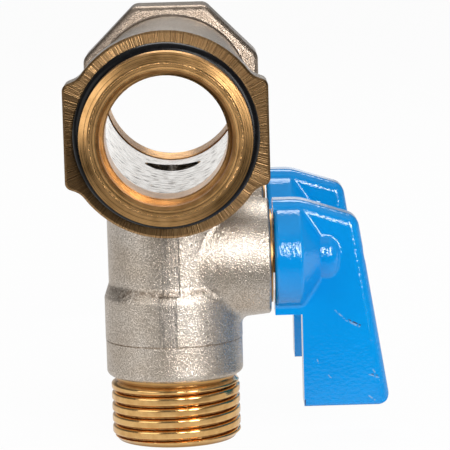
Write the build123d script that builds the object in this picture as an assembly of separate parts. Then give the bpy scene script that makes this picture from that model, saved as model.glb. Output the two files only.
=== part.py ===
"""Two-outlet ball valve manifold: 3/4 inch header, male nose to female octagon, two 1/2 inch outlets.

Frame: the header's axis is Y and starts at the nose's end face. The outlets hang down along -Z and
the handles stand out along +X. Sizes are in millimetres.
"""

from build123d import *
import os
from math import radians, tan

# Fits
RUN_GAP = 0.05  # radial clearance of a turning fit
SCREW_GAP = 0.03  # radial clearance of a screwed fit, drawn as plain cylinders
TOUCH = 0.001  # two places closer than this are the same place

# Nose, the male end of the header
NOSE_R = 13.22  # outside of a 3/4 inch pipe thread
NOSE_LENGTH = 8.5
NOSE_LEAD = 0.8  # length of the lead chamfer
NOSE_LEAD_DEPTH = 1.6
NOSE_WALL = 2.3  # between the ring groove and the bore
MOUTH_STEP = 0.7  # counterbore wider than the bore by this much
MOUTH_DEPTH = 4.6
MOUTH_CHAMFER = 0.45
LIP_BACK = 3.5  # the narrow bore ends this far behind the shoulder

# Sealing ring at the root of the nose
RING_SECTION = 2.6
RING_GROOVE_DEPTH = 1.47
RING_GROOVE_SPARE = 0.3  # groove wider than the ring

# Header tube
HEADER_BORE_R = 12.4
HEADER_WALL = 1.65
HEADER_BLEND = 0.6  # root fillet to the collar and the octagon

# Wrench collar behind the nose
COLLAR_STEP = 2.01  # rim above the tube
COLLAR_LENGTH = 8.0
COLLAR_EDGE = 0.35
FLAT_CUT = 0.21  # flats lie this far inside the rim
EAR_HALF = 7.9
EAR_SLOPE = 20.0
EAR_CORNER = 1.2
EAR_BLEND = 3.0

# Outlets along the header
COLLAR_LAND = 1.3  # bare tube between the collar's and the first branch's root fillets
OUTLET_PITCH = 45.0
OUTLET_COUNT = 2

# Octagonal female end
OCTAGON_LAND = 0.1  # bare tube between the last branch's and the octagon's root fillets
OCTAGON_LENGTH = 14.2
SOCKET_WALL = 3.75
OCTAGON_CORNER = 2.0
OCTAGON_EDGE = 1.2
SOCKET_STEP = 0.2  # thread crests stand this far into the bore
SOCKET_LENGTH = 13.3
SOCKET_MOUTH = 1.4

# Ball valve inside each branch
BALL_R = 7.9
PORT_R = 5.0
PORT_LENGTH = 3.2  # wall between the header's bore and the upper seat
CHAMBER_GAP = 0.5
SEAT_BITE = 1.3  # a seat's flat face lies this far inside the ball's top
SEAT_DEPTH = 3.2
SEAT_GAP = 0.1
SLOT_DEPTH = 2.3
TANG_THICK = 3.0
TANG_WIDTH = 6.0
TANG_GAP = 0.1

# Branch outside
NECK_WALL = 2.0
INSERT_STEP = 0.6  # nipple's screwed end is wider than the chamber
INSERT_LENGTH = 6.2
BULGE_WALL = 2.17
FLARE_DROP = 3.6  # flare starts this far below the stem
FLARE_LENGTH = 2.3
FLARE_BLEND = 1.0
BRANCH_BLEND = 1.2  # fillet where branch, boss and tube meet
LAND_WIDTH = 2.65  # trimmed forging seam down each branch
LAND_HEIGHT = 0.25
LAND_SHIFT_ABOVE = -0.1  # the dies met out of line, so the band steps at the flare
LAND_SHIFT_BELOW = -0.75

# Outlet nipple
OUTLET_R = 10.48  # outside of a 1/2 inch pipe thread
OUTLET_LENGTH = 10.6
OUTLET_LEAD = 1.0
NIPPLE_RIM = 0.64  # plated collar above the thread
NIPPLE_COLLAR = 5.95
NIPPLE_EDGE = 0.9
RELIEF_LENGTH = 1.0
RELIEF_DEPTH = 1.1
NIPPLE_BORE_R = 7.5
NIPPLE_LAND = 7.0  # length of the narrow bore under the ball
NIPPLE_CONE = 3.0

# Stem, its seals and gland
STEM_R = 3.5
STEM_WALL = 2.0  # boss wall that the flange thrusts on
FLANGE_STEP = 1.9
FLANGE_THICK = 1.4
WASHER_THICK = 0.6
STEM_RING = 1.1
STEM_RING_GAP = 0.1
GLAND_STEP = 1.6
GLAND_LENGTH = 3.45
GLAND_RIM = 0.55
GLAND_RIM_THICK = 0.35

# Boss that holds the gland
BOSS_WALL = 2.32
BOSS_INSET = 0.8  # oval root inside the neck's sides
BOSS_RISE = 1.65  # oval root taller than the round end
BOSS_EDGE = 0.5

# Handle, measured from its hub face on the stem's axis
HUB_GAP = 0.25
HUB_INSET = 0.7  # hub's rim inside the plate's top and bottom
HUB_LENGTH = 4.4
HUB_EDGE = 0.8
CONE_LENGTH = 3.1
BARREL_R = 4.85
BARREL_LENGTH = 3.3
BARREL_EDGE = 2.2
PLATE_THICK = 7.0
PLATE_HALF = 9.3  # plate above and below the stem's axis
PLATE_EDGE = 1.8
PLATE_ROOT = 0.5
HANDLE_BLEND = 0.8  # fillet where the plate leaves hub, cone and barrel
BLADE_INNER = 4.37
BLADE_TIP = 24.5  # tip below the stem's axis
BLADE_TOP_OUT = 13.68
BLADE_TOP_DROP = 3.03
BLADE_TIP_OUT = 18.46
TOP_BEND = 8.0
TOP_SPARE = 0.6  # top corner rounder than the plate's edge
TIP_CORNER = 1.8
TIP_EDGE = 0.5
DRIVE_LENGTH = 6.5  # flattened stem inside the hub
DRIVE_FLATS = 5.0
DRIVE_GAP = 0.2
SCREW_WEB = 1.4

# Handle screw
SCREW_R = 1.25
SCREW_GRIP = 5.0
SCREW_HOLE_GAP = 0.1
HEAD_R = 2.2
HEAD_HEIGHT = 1.6
HEAD_GAP = 0.1
HEAD_EDGE = 0.5
RECESS_WIDTH = 0.6
RECESS_SPAN = 2.4
RECESS_DEPTH = 0.9
LOCK_THICK = 0.6

# Radii and reaches that follow
GROOVE_R = NOSE_R - RING_GROOVE_DEPTH
NOSE_BORE_R = GROOVE_R - NOSE_WALL
HEADER_R = HEADER_BORE_R + HEADER_WALL
COLLAR_R = HEADER_R + COLLAR_STEP
SOCKET_R = HEADER_BORE_R - SOCKET_STEP
OCTAGON_HALF = SOCKET_R + SOCKET_WALL
SEAT_REACH = BALL_R - SEAT_BITE  # from the ball's centre to a seat's flat face
CHAMBER_R = BALL_R + CHAMBER_GAP
NECK_R = CHAMBER_R + NECK_WALL
INSERT_R = CHAMBER_R + INSERT_STEP
BULGE_R = INSERT_R + BULGE_WALL
FLANGE_R = STEM_R + FLANGE_STEP
GLAND_R = FLANGE_R + GLAND_STEP
BOSS_R = GLAND_R + BOSS_WALL
NIPPLE_R = OUTLET_R + NIPPLE_RIM
HUB_R = PLATE_HALF - HUB_INSET
TOP_CORNER = PLATE_EDGE + TOP_SPARE

# Places along the header
SHOULDER = NOSE_LENGTH
BRANCH_ROOT = NECK_R + BRANCH_BLEND + HEADER_BLEND
FIRST_OUTLET = SHOULDER + COLLAR_LENGTH + COLLAR_LAND + BRANCH_ROOT
OUTLETS = [FIRST_OUTLET + OUTLET_PITCH * n for n in range(OUTLET_COUNT)]
OCTAGON_NEAR = OUTLETS[-1] + BRANCH_ROOT + OCTAGON_LAND
HEADER_END = OCTAGON_NEAR + OCTAGON_LENGTH

# Heights below the header's axis
STEM_Z = -(HEADER_BORE_R + PORT_LENGTH + SEAT_REACH)
POCKET_Z = STEM_Z + SEAT_REACH
INSERT_Z = STEM_Z - SEAT_REACH
SEAM_Z = INSERT_Z - INSERT_LENGTH
COLLAR_Z = SEAM_Z - NIPPLE_COLLAR
OUTLET_Z = COLLAR_Z - OUTLET_LENGTH

# Distances along the stem from the branch's axis
WASHER_X = CHAMBER_R + STEM_WALL
FLANGE_X = WASHER_X + WASHER_THICK
GLAND_X = FLANGE_X + FLANGE_THICK + RUN_GAP
BOSS_X = GLAND_X + GLAND_LENGTH
HUB_X = BOSS_X + GLAND_RIM_THICK + HUB_GAP
STEM_END = HUB_X + DRIVE_LENGTH
SCREW_SEAT = STEM_END + DRIVE_GAP + SCREW_WEB
SLOT_X = BALL_R - SLOT_DEPTH


def turned(axis, *points):
    """Solid turned about X, Y or Z from a closed outline of (radius, distance along the axis)."""
    plane = Plane.XZ if axis == Axis.Z else Plane.XY
    outline = [(along, radius) if axis == Axis.X else (radius, along) for radius, along in points]
    face = plane * make_face(Polyline(*outline, close=True))
    return revolve(face, axis)


def tube(axis, inner, outer, start, end):
    """Plain ring about an axis."""
    return turned(axis, (inner, start), (outer, start), (outer, end), (inner, end))


def rod(axis, radius, start, end):
    """Plain cylinder about an axis."""
    return tube(axis, 0, radius, start, end)


def ring_about(axis, mid_r, section, at):
    """Round-section ring about an axis, centred at a distance along it."""
    turn = {Axis.X: Rot(0, 90, 0), Axis.Y: Rot(90, 0, 0)}[axis]
    place = {Axis.X: Pos(at, 0, 0), Axis.Y: Pos(0, at, 0)}[axis]
    return place * turn * Torus(mid_r, section / 2)


def on_stem(solid):
    """Move a solid from the X axis to the stem's axis."""
    return Pos(0, 0, STEM_Z) * solid


def rim_edges(solid, axis, at):
    """Edges of a solid that lie in the plane at a distance along an axis."""
    return solid.edges().filter_by_position(axis, at - TOUCH, at + TOUCH)


def collar():
    """Round collar with a pair of wrench ears, blended into the rim."""
    half = COLLAR_R - FLAT_CUT
    peak = EAR_HALF + half * tan(radians(EAR_SLOPE))
    tip = Vector(half, EAR_HALF).length
    ears = Polygon(
        (half, EAR_HALF),
        (0, peak),
        (-half, EAR_HALF),
        (-half, -EAR_HALF),
        (0, -peak),
        (half, -EAR_HALF),
    )
    outline = (Circle(COLLAR_R) & Rectangle(2 * half, 3 * COLLAR_R)) + ears
    roots = [v for v in outline.vertices() if abs(Vector(v).length - COLLAR_R) < TOUCH]
    outline = fillet(roots, EAR_BLEND)
    tips = [v for v in outline.vertices() if Vector(v).length > tip - TOUCH]
    outline = fillet(tips, EAR_CORNER)
    block = extrude(Plane.XZ.offset(-SHOULDER) * outline, -COLLAR_LENGTH)
    return chamfer(rim_edges(block, Axis.Y, SHOULDER), COLLAR_EDGE)


def octagon():
    """Octagonal wrench end with rounded corners and a rounded near rim."""
    outline = RegularPolygon(OCTAGON_HALF, 8, major_radius=False, rotation=22.5)
    outline = fillet(outline.vertices(), OCTAGON_CORNER)
    block = extrude(Plane.XZ.offset(-OCTAGON_NEAR) * outline, -OCTAGON_LENGTH)
    block = fillet(rim_edges(block, Axis.Y, OCTAGON_NEAR), OCTAGON_EDGE)
    return chamfer(rim_edges(block, Axis.Y, HEADER_END), OCTAGON_EDGE / 2)


def nose():
    """Male end with its lead chamfer and the groove of the sealing ring."""
    groove = SHOULDER - RING_SECTION - RING_GROOVE_SPARE
    return turned(
        Axis.Y,
        (0, 0),
        (NOSE_R - NOSE_LEAD_DEPTH, 0),
        (NOSE_R, NOSE_LEAD),
        (NOSE_R, groove),
        (GROOVE_R, groove),
        (GROOVE_R, SHOULDER),
        (0, SHOULDER),
    )


def branch_form(extra=0.0):
    """Outlet branch about Z: neck, flare and bulge down to the seam."""
    flare = STEM_Z - FLARE_DROP
    outline = make_face(
        Polyline(
            (0, 0),
            (NECK_R + extra, 0),
            (NECK_R + extra, flare),
            (BULGE_R + extra, flare - FLARE_LENGTH),
            (BULGE_R + extra, SEAM_Z),
            (0, SEAM_Z),
            close=True,
        )
    )
    bends = [v for v in outline.vertices() if v.X > PORT_R and SEAM_Z + TOUCH < v.Y < -TOUCH]
    outline = fillet(bends, FLARE_BLEND)
    return revolve(Plane.XZ * outline, Axis.Z)


def boss_form():
    """Stem boss: a forged oval inside the branch, drawn out to a round, rounded end."""
    root = Plane.YZ * Ellipse(NECK_R - BOSS_INSET, BOSS_R + BOSS_RISE)
    drawn = loft([root, Plane.YZ.offset(BOSS_X) * Circle(BOSS_R)])
    return on_stem(fillet(rim_edges(drawn, Axis.X, BOSS_X), BOSS_EDGE))


def seam_land():
    """Trimmed seam of the forging, a low band down the front and back of a branch."""
    reach = 2 * (BULGE_R + LAND_HEIGHT)
    step = STEM_Z - FLARE_DROP - FLARE_LENGTH / 2
    above = Pos(LAND_SHIFT_ABOVE, 0, (step - HEADER_R) / 2) * Box(LAND_WIDTH, reach, -HEADER_R - step)
    below = Pos(LAND_SHIFT_BELOW, 0, (step + SEAM_Z) / 2) * Box(LAND_WIDTH, reach, step - SEAM_Z)
    return branch_form(LAND_HEIGHT) & (above + below)


def header_passage():
    """Hollow of the header: mouth of the nose, narrow bore, wide bore and tapped socket."""
    mouth_r = NOSE_BORE_R + MOUTH_STEP
    lip_end = SHOULDER + LIP_BACK
    thread = HEADER_END - SOCKET_LENGTH
    return turned(
        Axis.Y,
        (0, 0),
        (mouth_r + MOUTH_CHAMFER, 0),
        (mouth_r, MOUTH_CHAMFER),
        (mouth_r, MOUTH_DEPTH),
        (NOSE_BORE_R, MOUTH_DEPTH),
        (NOSE_BORE_R, lip_end),
        (HEADER_BORE_R, lip_end),
        (HEADER_BORE_R, thread),
        (SOCKET_R, thread),
        (SOCKET_R, HEADER_END - SOCKET_MOUTH),
        (SOCKET_R + SOCKET_MOUTH, HEADER_END),
        (0, HEADER_END),
    )


def valve_hollow():
    """Hollow of one branch: port, ball chamber, nipple socket, stem hole and gland socket."""
    down = turned(
        Axis.Z,
        (0, 0),
        (PORT_R, 0),
        (PORT_R, POCKET_Z),
        (CHAMBER_R, POCKET_Z),
        (CHAMBER_R, INSERT_Z),
        (INSERT_R + SCREW_GAP, INSERT_Z),
        (INSERT_R + SCREW_GAP, SEAM_Z),
        (0, SEAM_Z),
    )
    out = turned(
        Axis.X,
        (0, 0),
        (STEM_R + RUN_GAP, 0),
        (STEM_R + RUN_GAP, WASHER_X),
        (GLAND_R + SCREW_GAP, WASHER_X),
        (GLAND_R + SCREW_GAP, BOSS_X),
        (0, BOSS_X),
    )
    return down + Pos(0, 0, STEM_Z) * out


def manifold_body():
    """The forging, machined: header, collar, octagon, branches and bosses in one piece."""
    pipe = rod(Axis.Y, HEADER_R, SHOULDER, HEADER_END)
    forged = pipe + collar() + octagon()
    roots = new_edges(pipe, collar(), octagon(), combined=forged)
    forged = fillet(roots, HEADER_BLEND)
    for y in OUTLETS:
        branch = Pos(0, y, 0) * branch_form()
        boss = Pos(0, y, 0) * boss_form()
        joined = forged + branch + boss
        forged = fillet(new_edges(forged, branch, boss, combined=joined), BRANCH_BLEND)
    for y in OUTLETS:
        forged += Pos(0, y, 0) * seam_land()
    forged += nose()
    forged -= header_passage()
    for y in OUTLETS:
        forged -= Pos(0, y, 0) * valve_hollow()
    return forged


def nose_o_ring():
    """Sealing ring in the groove, against the shoulder."""
    mid_r = GROOVE_R + RUN_GAP + RING_SECTION / 2
    return ring_about(Axis.Y, mid_r, RING_SECTION, SHOULDER - RUN_GAP - RING_SECTION / 2)


def outlet_nipple():
    """Screwed-in lower end of the branch: insert, plated collar, thread relief and male thread."""
    relief_r = OUTLET_R - RELIEF_DEPTH
    outside = turned(
        Axis.Z,
        (0, INSERT_Z),
        (INSERT_R, INSERT_Z),
        (INSERT_R, SEAM_Z),
        (NIPPLE_R, SEAM_Z),
        (NIPPLE_R, COLLAR_Z),
        (relief_r, COLLAR_Z),
        (relief_r, COLLAR_Z - RELIEF_LENGTH),
        (OUTLET_R, COLLAR_Z - RELIEF_LENGTH - RELIEF_DEPTH / 2),
        (OUTLET_R, OUTLET_Z + OUTLET_LEAD),
        (OUTLET_R - OUTLET_LEAD, OUTLET_Z),
        (0, OUTLET_Z),
    )
    rim = rim_edges(outside, Axis.Z, COLLAR_Z).sort_by(SortBy.LENGTH)[-1]
    outside = fillet(rim, NIPPLE_EDGE)
    cone = INSERT_Z - NIPPLE_LAND
    return outside - turned(
        Axis.Z,
        (0, INSERT_Z),
        (PORT_R, INSERT_Z),
        (PORT_R, cone),
        (NIPPLE_BORE_R, cone - NIPPLE_CONE),
        (NIPPLE_BORE_R, OUTLET_Z),
        (0, OUTLET_Z),
    )


def ball():
    """Drilled ball with a slot for the stem across its bore."""
    slot = Pos(SLOT_X + SLOT_DEPTH, 0, 0) * Box(2 * SLOT_DEPTH, 2 * BALL_R, TANG_THICK + TANG_GAP)
    solid = Sphere(BALL_R) - rod(Axis.Z, PORT_R, -BALL_R, BALL_R) - slot
    return Pos(0, 0, STEM_Z) * solid


def seat(side):
    """Seat ring above (side 1) or below (side -1) the ball, hollowed to the ball's curve."""
    outer = CHAMBER_R - SEAT_GAP
    near, far = side * (SEAT_REACH - SEAT_DEPTH), side * SEAT_REACH
    ring = tube(Axis.Z, PORT_R, outer, min(near, far), max(near, far))
    return Pos(0, 0, STEM_Z) * (ring - Sphere(BALL_R + RUN_GAP))


def drive_section(gap):
    """Cross-section of the flattened stem end, with a clearance all round."""
    return Plane.YZ * (Circle(STEM_R + gap) & Rectangle(3 * STEM_R, DRIVE_FLATS + 2 * gap))


def stem():
    """Spindle: tang, journal, thrust flange, seal journal and a flattened, tapped drive end."""
    tang_x = SLOT_X + TANG_GAP
    tang = Pos((tang_x + CHAMBER_R) / 2, 0, 0) * Box(CHAMBER_R - tang_x, TANG_WIDTH, TANG_THICK)
    shaft = rod(Axis.X, STEM_R, CHAMBER_R, HUB_X - HUB_GAP / 2)
    flange = rod(Axis.X, FLANGE_R, FLANGE_X, FLANGE_X + FLANGE_THICK)
    drive = Pos(HUB_X - HUB_GAP / 2, 0, 0) * extrude(drive_section(0), DRIVE_LENGTH + HUB_GAP / 2)
    tapped = rod(Axis.X, SCREW_R + SCREW_GAP, STEM_END - SCREW_GRIP - SCREW_R, STEM_END)
    return on_stem(tang + shaft + flange + drive - tapped)


def thrust_washer():
    """Slip ring between the boss and the stem's flange."""
    return on_stem(tube(Axis.X, STEM_R + RUN_GAP, FLANGE_R, WASHER_X, FLANGE_X))


def stem_ring_at(order):
    """Distance along the stem of the first or second seal ring's centre."""
    return GLAND_X + (order + 0.5) * STEM_RING + (order + 1) * STEM_RING_GAP


def stem_o_ring(order):
    """Seal ring on the stem, inside the gland."""
    mid_r = STEM_R + RUN_GAP + STEM_RING / 2
    return on_stem(ring_about(Axis.X, mid_r, STEM_RING, stem_ring_at(order)))


def gland():
    """Bush screwed into the boss: hollow for the seal rings, and a thin rim on the boss."""
    seal_r = STEM_R + 2 * RUN_GAP + STEM_RING
    seal_end = GLAND_X + 2 * STEM_RING + 3 * STEM_RING_GAP
    bush = turned(
        Axis.X,
        (seal_r, GLAND_X),
        (GLAND_R, GLAND_X),
        (GLAND_R, BOSS_X),
        (GLAND_R + GLAND_RIM, BOSS_X),
        (GLAND_R + GLAND_RIM, BOSS_X + GLAND_RIM_THICK),
        (STEM_R + RUN_GAP, BOSS_X + GLAND_RIM_THICK),
        (STEM_R + RUN_GAP, seal_end),
        (seal_r, seal_end),
    )
    return on_stem(bush)


def blade_outline(longer=0.0):
    """Flag shape in the XZ plane, its tip drawn on by some length."""
    lean = (BLADE_TIP_OUT - BLADE_TOP_OUT) / (BLADE_TIP + PLATE_HALF - BLADE_TOP_DROP)
    tip = BLADE_TIP + longer
    return make_face(
        Polyline(
            (0, -PLATE_HALF),
            (BLADE_INNER, -PLATE_HALF),
            (BLADE_INNER, -tip),
            (BLADE_TIP_OUT + lean * longer, -tip),
            (BLADE_TOP_OUT, PLATE_HALF - BLADE_TOP_DROP),
            (BLADE_INNER, PLATE_HALF),
            (0, PLATE_HALF),
            close=True,
        )
    )


def round_corner(face, x, z, radius):
    """Outline with one of its corners rounded."""
    return fillet([v for v in face.vertices() if abs(v.X - x) < TOUCH and abs(v.Y - z) < TOUCH], radius)


def blade():
    """Flag-shaped plate: top and outer edges rounded, then its tip cut square with one round corner."""
    top_z = PLATE_HALF - BLADE_TOP_DROP
    face = round_corner(blade_outline(2 * PLATE_EDGE), BLADE_TOP_OUT, top_z, TOP_CORNER)
    face = round_corner(face, BLADE_INNER, PLATE_HALF, TOP_BEND)
    plate = extrude(Plane.XZ * face, PLATE_THICK / 2, both=True)
    sides = rim_edges(plate, Axis.Y, PLATE_THICK / 2) + rim_edges(plate, Axis.Y, -PLATE_THICK / 2)
    crest = [e for e in sides if e.center().Z > top_z - TOP_CORNER or e.center().X > BLADE_TOP_OUT]
    plate = fillet(crest, PLATE_EDGE)
    trim = round_corner(blade_outline(), BLADE_INNER, -PLATE_HALF, PLATE_ROOT)
    trim = round_corner(trim, BLADE_TIP_OUT, -BLADE_TIP, TIP_CORNER)
    form = extrude(Plane.XZ * trim, PLATE_THICK / 2, both=True)
    tip = rim_edges(form, Axis.Z, -BLADE_TIP)
    return plate & fillet([e for e in tip if abs(e.center().Y) > PLATE_THICK / 2 - TOUCH], TIP_EDGE)


def handle():
    """Cast lever: hub, cone and screw barrel turned about the stem, with the blade across them."""
    cone = HUB_LENGTH + CONE_LENGTH
    end = cone + BARREL_LENGTH
    outline = make_face(
        Polyline(
            (0, 0),
            (0, HUB_R),
            (HUB_LENGTH, HUB_R),
            (cone, BARREL_R),
            (end, BARREL_R),
            (end, 0),
            close=True,
        )
    )
    outline = fillet([v for v in outline.vertices() if v.X > end - TOUCH and v.Y > TOUCH], BARREL_EDGE)
    outline = fillet([v for v in outline.vertices() if v.Y > HUB_R - TOUCH], HUB_EDGE)
    core = revolve(outline, Axis.X)
    plate = blade()
    solid = core + plate
    solid = fillet(new_edges(core, plate, combined=solid), HANDLE_BLEND)
    solid -= extrude(drive_section(SCREW_GAP), DRIVE_LENGTH + DRIVE_GAP)
    seat_x = SCREW_SEAT - HUB_X
    solid -= rod(Axis.X, SCREW_R + SCREW_HOLE_GAP, 0, seat_x)
    solid -= rod(Axis.X, HEAD_R + HEAD_GAP, seat_x, BLADE_TIP_OUT)
    return on_stem(Pos(HUB_X, 0, 0) * solid)


def handle_screw():
    """Pan head screw with a cross recess, from outside the blade into the stem."""
    head = SCREW_SEAT + LOCK_THICK
    top = head + HEAD_HEIGHT
    pan = fillet(rim_edges(rod(Axis.X, HEAD_R, head, top), Axis.X, top), HEAD_EDGE)
    shank = rod(Axis.X, SCREW_R, STEM_END - SCREW_GRIP, head)
    screw = pan + shank
    for turn in (0, 90):
        screw -= Pos(top, 0, 0) * Rot(turn, 0, 0) * Box(2 * RECESS_DEPTH, RECESS_SPAN, RECESS_WIDTH)
    return on_stem(screw)


def lock_washer():
    """Flat ring under the screw head."""
    return on_stem(tube(Axis.X, SCREW_R + SCREW_HOLE_GAP, HEAD_R, SCREW_SEAT, SCREW_SEAT + LOCK_THICK))


def valve_pieces():
    """Every loose piece of one valve, for an outlet straight below the origin."""
    return {
        "outlet_nipple": outlet_nipple(),
        "ball": ball(),
        "upper_seat": seat(1),
        "lower_seat": seat(-1),
        "stem": stem(),
        "thrust_washer": thrust_washer(),
        "inner_stem_o_ring": stem_o_ring(0),
        "outer_stem_o_ring": stem_o_ring(1),
        "gland": gland(),
        "handle": handle(),
        "handle_screw": handle_screw(),
        "lock_washer": lock_washer(),
    }


os.makedirs("parts", exist_ok=True)
export_step(manifold_body(), "parts/manifold_body.step")
export_step(nose_o_ring(), "parts/nose_o_ring.step")
for name, piece in valve_pieces().items():
    for number, y in enumerate(OUTLETS, start=1):
        export_step(Pos(0, y, 0) * piece, f"parts/{name}_{number}.step")
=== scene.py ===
"""Looks of a two-outlet ball valve manifold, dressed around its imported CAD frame.

Sizes in the functions are metres. The header's axis is Y, the outlets hang along -Z and the handles
stand out along +X.
"""

from math import cos, pi, radians, sin

import bpy
import numpy as np
from bpy.props import FloatProperty, FloatVectorProperty, PointerProperty
from mathutils import Matrix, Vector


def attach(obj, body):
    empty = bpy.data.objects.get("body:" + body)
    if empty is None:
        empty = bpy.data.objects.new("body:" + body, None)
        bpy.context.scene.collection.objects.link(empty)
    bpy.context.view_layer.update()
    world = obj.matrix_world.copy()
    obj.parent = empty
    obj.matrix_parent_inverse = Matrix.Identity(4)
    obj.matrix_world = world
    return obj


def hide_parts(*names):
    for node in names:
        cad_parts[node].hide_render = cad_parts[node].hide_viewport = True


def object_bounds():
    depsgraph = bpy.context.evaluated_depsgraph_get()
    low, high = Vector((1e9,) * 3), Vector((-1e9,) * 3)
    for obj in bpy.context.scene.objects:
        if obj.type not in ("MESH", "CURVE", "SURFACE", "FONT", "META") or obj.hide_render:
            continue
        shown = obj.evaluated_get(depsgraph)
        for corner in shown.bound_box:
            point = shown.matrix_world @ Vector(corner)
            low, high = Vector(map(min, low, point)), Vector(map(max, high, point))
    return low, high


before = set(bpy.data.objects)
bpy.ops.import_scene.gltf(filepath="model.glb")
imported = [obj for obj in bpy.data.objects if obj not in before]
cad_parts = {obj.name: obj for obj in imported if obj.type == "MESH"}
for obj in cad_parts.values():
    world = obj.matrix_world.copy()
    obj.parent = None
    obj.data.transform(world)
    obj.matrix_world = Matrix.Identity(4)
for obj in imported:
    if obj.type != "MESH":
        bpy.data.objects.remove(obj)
CAD_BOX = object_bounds()

bl_info = {
    "name": "Ball valve manifold",
    "version": (1, 0, 0),
    "blender": (4, 5, 0),
    "location": "3D View > Sidebar > Manifold",
    "description": "Threads, finishes and studio of a two-outlet ball valve manifold",
    "category": "Object",
}

MM = 0.001
NEAR = 0.03 * MM
NOSE_FACE_R = 11.62 * MM  # edge between the nose's end face and its lead
NOSE_LEAD = 0.8 * MM
VALVES = (1, 2)
SHARP_ANGLE = radians(32)


# Sizes and colours that a user would change


def length(name, description, default):
    """A length property, in metres."""
    return FloatProperty(name=name, description=description, default=default, unit="LENGTH", precision=5)


def colour(name, description, default):
    """A colour property, linear red, green and blue."""
    return FloatVectorProperty(
        name=name, description=description, default=default, subtype="COLOR", size=3, min=0, max=1
    )


def level(name, description, default):
    """A brightness property, 1 for plain white."""
    return FloatProperty(name=name, description=description, default=default, min=0)


class ThreadSizes(bpy.types.PropertyGroup):
    """Pipe threads of the header and the outlets."""

    pitch: length("Pitch", "Distance between crests, 14 to the inch", 1.814 * MM)
    nose_crest: length("Nose crest radius", "Outside of the male header thread", 13.22 * MM)
    socket_crest: length("Socket crest radius", "Inside of the female header thread", 12.2 * MM)
    outlet_crest: length("Outlet crest radius", "Outside of the outlet threads", 10.48 * MM)
    depth: length("Depth", "Crest to root of the header threads", 0.72 * MM)
    outlet_depth: length("Outlet depth", "Crest to root of the outlet threads", 0.84 * MM)
    root: length("Root width", "Flat of a root along the axis", 0.16 * MM)


class FinishColours(bpy.types.PropertyGroup):
    """Colours of the metal, paint, rubber and seats."""

    nickel: colour("Nickel", "Blasted nickel plate", (0.83, 0.75, 0.665))
    nickel_pit: colour("Nickel pits", "Bottom of the blasted grain", (0.46, 0.40, 0.34))
    # Colour of the smudges, also used for the painted shade in the crease above the flare.
    stain: colour("Stains", "Smudges on the forging", (0.16, 0.11, 0.07))
    brass: colour("Brass", "Bare turned brass", (0.70, 0.40, 0.16))
    brass_dark: colour("Dark brass", "Tool marks and dull patches of brass", (0.42, 0.225, 0.08))
    cut_brass: colour("Cut brass", "Crests of the outlet threads", (0.90, 0.555, 0.222))
    # Painted shade: the darker colour laid in the roots of the outlet threads.
    root_shade_colour: colour("Thread roots", "Grime in the roots of the outlet threads", (0.48, 0.275, 0.10))
    cut_dark: colour("Dull cut brass", "Dull patches of the outlet threads", (0.74, 0.42, 0.15))
    faced: colour("Faced brass", "Machined shoulder", (0.60, 0.365, 0.165))
    faced_dark: colour("Dark faced brass", "Chatter lines of the shoulder", (0.17, 0.092, 0.038))
    bore: colour("Bore", "Plate inside the header", (0.745, 0.705, 0.65))
    bore_mark: colour("Bore marks", "Tool marks inside the header", (0.07, 0.04, 0.02))
    paint: colour("Handle paint", "Gloss azure paint", (0.001, 0.285, 0.735))
    paint_deep: colour("Deep paint", "Where the paint lies thick", (0.001, 0.255, 0.69))
    chip: colour("Paint chips", "Pale scuffs of the paint", (0.20, 0.38, 0.62))
    bare: colour("Bare scratches", "Primer in the deepest scratches", (0.05, 0.035, 0.05))
    rubber: colour("Rubber", "Sealing rings", (0.003, 0.003, 0.0035))
    seat: colour("Seats", "White seat rings", (0.80, 0.79, 0.76))
    chrome: colour("Ball", "Polished plated ball", (0.62, 0.62, 0.64))
    zinc: colour("Zinc", "Plated screw and washer", (0.60, 0.61, 0.63))


class StageSettings(bpy.types.PropertyGroup):
    """Camera, lamps and floor."""

    camera_at: FloatVectorProperty(
        name="Camera",
        description="Place of the camera",
        default=(0.00618, -0.40085, 0.039735),
        subtype="TRANSLATION",
    )
    camera_turn: FloatVectorProperty(
        name="Camera turn",
        description="Pitch down, yaw to the right and roll",
        default=(radians(7.6139), radians(0.2864), radians(1.5586)),
        subtype="EULER",
    )
    focal: FloatProperty(
        name="Focal length", description="Millimetres on a 36 mm sensor", default=214.18, min=1
    )
    shift: FloatVectorProperty(
        name="Shift", description="Lens shift of the framing", default=(0.00547, 0.01158), size=2
    )
    floor_white: FloatProperty(
        name="Floor white",
        description="Share of plain white in what is seen of the floor",
        default=0.965,
        min=0,
        max=1,
    )
    fill: level("Fill", "Even light from all round", 0.15)
    room: level("Room", "What gloss mirrors of the dark room", 0.13)
    back: level("Back", "What gloss mirrors low behind the object", 0.42)
    overhead: level("Overhead", "What gloss mirrors of the ceiling", 0.40)
    table: level("Table", "What gloss mirrors of the floor close by", 0.76)


# Meshes from arrays


def read(items, field, width, kind=np.float32):
    """All values of a field of a mesh's items, one row each."""
    values = np.empty(len(items) * width, kind)
    items.foreach_get(field, values)
    return values.reshape(-1, width) if width > 1 else values


def build(name, points, faces, finishes, finish_of_face=None, body="manifold"):
    """New piece at the origin from arrays of points and faces, smooth up to sharp angles, on a body."""
    mesh = bpy.data.meshes.new(name)
    mesh.from_pydata(points.tolist(), [], faces.tolist())
    for finish in finishes:
        mesh.materials.append(finish)
    if finish_of_face is not None:
        mesh.polygons.foreach_set("material_index", finish_of_face.astype(np.int32))
    mesh.shade_smooth()
    mesh.set_sharp_from_angle(angle=SHARP_ANGLE)
    if mesh.validate():
        raise RuntimeError(f"{name} has bad faces")
    piece = bpy.data.objects.new(name, mesh)
    bpy.context.scene.collection.objects.link(piece)
    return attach(piece, body)


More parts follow.
